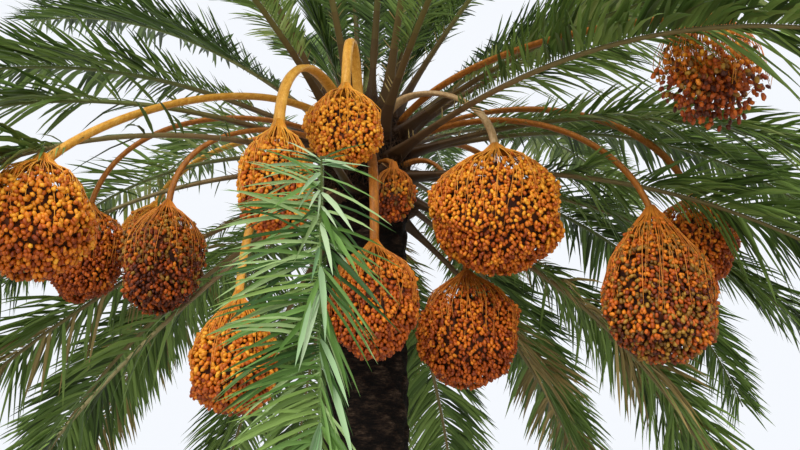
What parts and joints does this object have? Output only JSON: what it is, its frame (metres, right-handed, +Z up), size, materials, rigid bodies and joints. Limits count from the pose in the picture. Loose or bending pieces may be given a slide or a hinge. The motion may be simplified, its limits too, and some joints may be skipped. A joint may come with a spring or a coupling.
{
  "type": "date palm tree",
  "caption": "Fruiting date palm: scarred trunk, full crown of feather fronds and orange date bunches hanging on arched stalks.",
  "frame": {"origin": "centre of the flat cut under the trunk, at ground level", "axes": "+Z up the trunk; -Y towards the side the tree is seen from, with +X to the right of that view"},
  "size_m": [6.1472, 5.8042, 6.1225],
  "materials": {
    "trunk_bark": "rough dark bark with low leaf scars",
    "stalk": "smooth waxy strap, yellow-orange",
    "fruit_gold": "satin dates on strands, yellow-orange",
    "fruit_orange": "satin dates on strands, orange",
    "fruit_rust": "satin dates on strands, red-orange",
    "fruit_olive": "satin dates on strands, olive to brown",
    "frond": "satin grey-green leaflets on a brown-green rib"
  },
  "bodies": {
    "root": {"bunch_a": "fruit_gold", "bunch_b": "fruit_gold", "bunch_c": "fruit_orange", "bunch_d": "fruit_rust", "bunch_e": "fruit_orange", "bunch_f": "fruit_rust", "bunch_g": "fruit_orange", "bunch_h": "fruit_rust", "bunch_i": "fruit_orange", "bunch_j": "fruit_olive", "bunch_k": "fruit_rust", "bunch_l": "fruit_gold", "bunch_n": "fruit_rust", "bunch_p": "fruit_orange", "bunch_q": "fruit_rust", "bunch_r": "fruit_orange", "frond_08": "frond", "frond_11": "frond", "frond_19": "frond", "frond_21": "frond", "frond_44": "frond", "frond_front_blade": "frond", "frond_front_petiole": "frond", "fronds_05_13": "frond", "fronds_06_14": "frond", "fronds_07_15": "frond", "fronds_09_17": "frond", "fronds_10_18": "frond", "fronds_12_20": "frond", "fronds_22_30": "frond", "fronds_23_31": "frond", "fronds_24_32": "frond", "fronds_25_33": "frond", "fronds_26_34": "frond", "fronds_27_35": "frond", "fronds_28_36": "frond", "fronds_38_46": "frond", "fronds_39_47": "frond", "fronds_40_48": "frond", "fronds_41_49": "frond", "fronds_43_51": "frond", "fronds_young": "frond", "stalk_a": "stalk", "stalk_b": "stalk", "stalk_c": "stalk", "stalk_d": "stalk", "stalk_e": "stalk", "stalk_f": "stalk", "stalk_g": "stalk", "stalk_h": "stalk", "stalk_i": "stalk", "stalk_j": "stalk", "stalk_k": "stalk", "stalk_l": "stalk", "stalk_p": "stalk", "stalk_q": "stalk", "stalk_r": "stalk", "trunk": "trunk_bark"}
  },
  "joints": []
}
